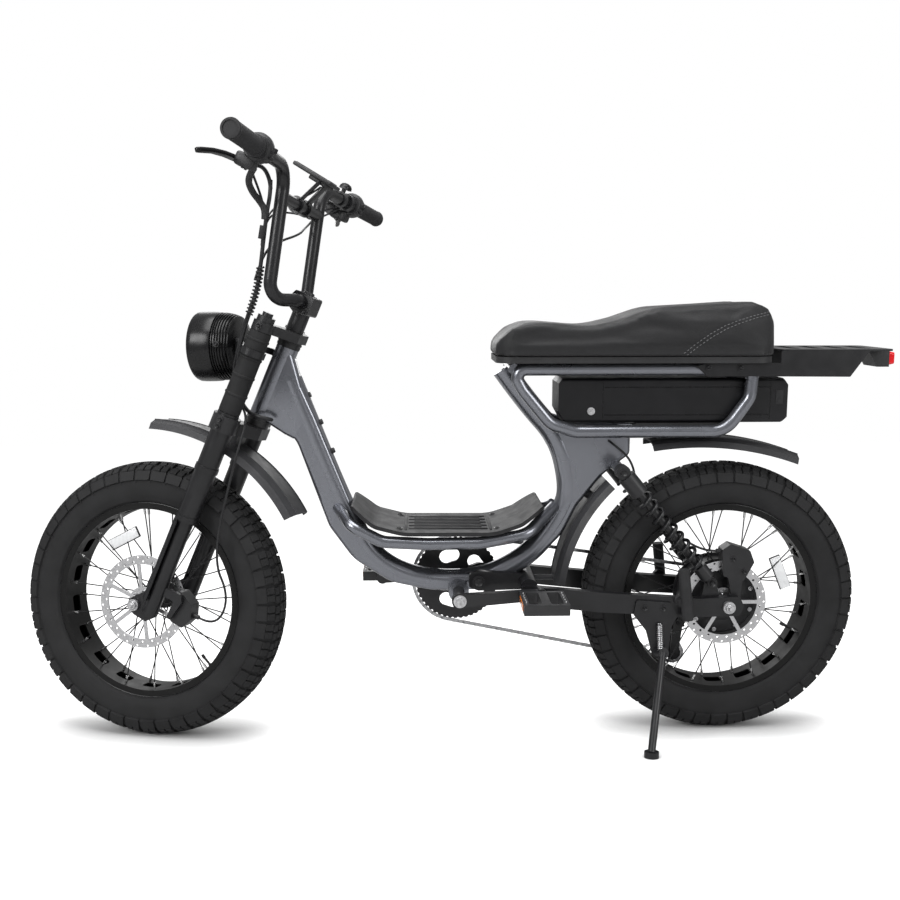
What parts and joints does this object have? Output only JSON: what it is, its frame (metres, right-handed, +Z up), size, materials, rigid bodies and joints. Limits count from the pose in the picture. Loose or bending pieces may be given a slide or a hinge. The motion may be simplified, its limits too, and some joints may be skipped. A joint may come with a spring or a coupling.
{
  "type": "step-through electric bike",
  "caption": "Step-through electric bike with fat tyres, a suspension fork, a long seat over a slide-in battery, rear shocks, a footboard and a side stand.",
  "frame": {"origin": "on the floor, at the centre of the bounding box's bottom", "axes": "+X forward along the bike, +Y to the rider's left, +Z up; the bike leans left on its side stand"},
  "size_m": [1.8861, 0.8198, 1.2306],
  "materials": {
    "frame_paint": "gloss metallic gunmetal",
    "black_paint": "satin black",
    "black_gloss": "gloss black",
    "black_plastic": "fine grain",
    "board_grey": "textured",
    "tyre_rubber": "matt",
    "soft_rubber": "matt",
    "steel": "brushed",
    "dark_steel": "brushed",
    "silver": "satin",
    "black_alloy": "satin anodised",
    "seat_cover": "fine grain leatherette",
    "lamp_glass": "clear",
    "red_lens": "gloss red",
    "hose_black": "satin"
  },
  "bodies": {
    "frame": {"rear_fender_front": "black_plastic", "rear_fender_rear": "black_plastic", "main_frame": "frame_paint", "headset": "black_alloy", "seat_loops": "frame_paint", "side_rails": "frame_paint", "footboard": "board_grey", "swingarm": "black_paint", "rear_axle": "steel", "shocks": "black_alloy", "springs": "black_paint", "battery": "black_plastic", "battery_tray": "black_plastic", "seat_base": "black_plastic", "seat_cushion": "seat_cover", "rear_rack": "black_paint", "tail_lamp": "black_plastic", "tail_lens": "red_lens", "foot_pegs": "soft_rubber", "chain": "dark_steel", "derailleur": "dark_steel", "rear_caliper": "black_alloy", "stand_bracket": "black_paint", "rear_hose": "hose_black"},
    "steering": {"lower_crown": "black_alloy", "upper_crown": "black_alloy", "fork_tubes": "black_paint", "fork_legs": "black_paint", "front_axle": "steel", "stem": "black_alloy", "handlebar": "black_paint", "grips": "soft_rubber", "switch_pods": "black_plastic", "brake_levers": "black_alloy", "display": "black_plastic", "bell": "black_plastic", "headlamp_body": "black_gloss", "headlamp_lens": "lamp_glass", "headlamp_bracket": "black_paint", "front_fender": "black_plastic", "front_caliper": "black_alloy", "front_hose": "hose_black", "cable_bundle": "hose_black"},
    "front_wheel": {"front_tyre": "tyre_rubber", "front_rim": "black_alloy", "front_spokes": "dark_steel", "front_hub": "black_alloy", "front_brake_disc": "steel"},
    "rear_wheel": {"rear_tyre": "tyre_rubber", "rear_rim": "black_alloy", "rear_spokes": "dark_steel", "hub_motor": "black_alloy", "rear_brake_disc": "steel", "cassette": "silver"},
    "crank": {"chainring": "silver", "cranks": "black_alloy"},
    "pedal_left": {"pedal_left": "black_plastic"},
    "pedal_right": {"pedal_right": "black_plastic"},
    "stand": {"stand_leg": "black_paint"}
  },
  "joints": [
    {"name": "steering", "type": "hinge", "parent": "frame", "child": "steering", "pos_m": [0.59082, -0.08953, 0.27233], "axis": [-0.3911, 0.1122, 0.9135], "range_deg": [-24, 56], "deforming": ["cable_bundle"]},
    {"name": "front_wheel_spin", "type": "hinge", "parent": "steering", "child": "front_wheel", "pos_m": [0.65097, -0.10502, 0.29999], "axis": [0.2537, 0.9672, -0.0101], "continuous": true},
    {"name": "rear_wheel_spin", "type": "hinge", "parent": "frame", "child": "rear_wheel", "pos_m": [-0.5866, -0.08629, 0.29821], "axis": [0.0001, 0.9925, -0.1219], "continuous": true},
    {"name": "crank_spin", "type": "hinge", "parent": "frame", "child": "crank", "pos_m": [-0.01361, -0.08336, 0.32227], "axis": [0.0001, 0.9925, -0.1219], "continuous": true},
    {"name": "pedal_left_spin", "type": "hinge", "parent": "crank", "child": "pedal_left", "pos_m": [-0.1832, -0.08192, 0.33397], "axis": [0.0001, 0.9925, -0.1219], "continuous": true},
    {"name": "pedal_right_spin", "type": "hinge", "parent": "crank", "child": "pedal_right", "pos_m": [0.15598, -0.08481, 0.31057], "axis": [0.0001, 0.9925, -0.1219], "continuous": true},
    {"name": "side_stand", "type": "hinge", "parent": "frame", "child": "stand", "pos_m": [-0.44055, 0.01119, 0.18958], "axis": [-0.3213, 0.9335, 0.1594], "range_deg": [0, 87.3]}
  ]
}
